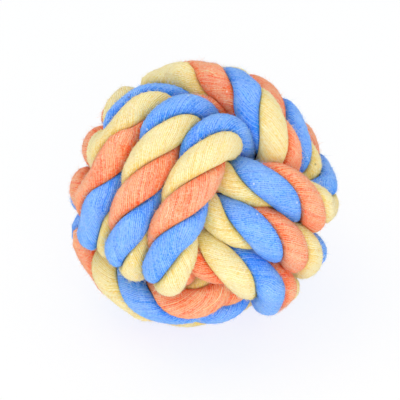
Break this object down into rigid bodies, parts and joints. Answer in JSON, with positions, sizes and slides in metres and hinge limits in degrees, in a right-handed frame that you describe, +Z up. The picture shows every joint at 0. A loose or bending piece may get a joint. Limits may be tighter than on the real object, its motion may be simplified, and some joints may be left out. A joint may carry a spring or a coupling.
{
  "type": "rope ball dog toy",
  "caption": "Round rope ball for a dog to chew and fetch: a soft cotton rope of coloured strands tied in a tight ball knot with its ends tucked inside.",
  "frame": {"origin": "middle of the ball's footprint, on the surface that it rests on", "axes": "+Z up; -Y towards the side that the picture shows, +X to the right of that side"},
  "size_m": [0.0684, 0.069, 0.0661],
  "materials": {
    "orange_cotton": "soft dyed cotton yarn, matt and slightly fuzzy",
    "blue_cotton": "soft dyed cotton yarn, matt and slightly fuzzy",
    "yellow_cotton": "soft dyed cotton yarn, matt and slightly fuzzy",
    "whipping_thread": "plain undyed thread, wound tight"
  },
  "bodies": {
    "root": {"orange_strand": "orange_cotton", "blue_strand": "blue_cotton", "yellow_strand": "yellow_cotton", "start_whipping": "whipping_thread", "finish_whipping": "whipping_thread"}
  },
  "joints": []
}
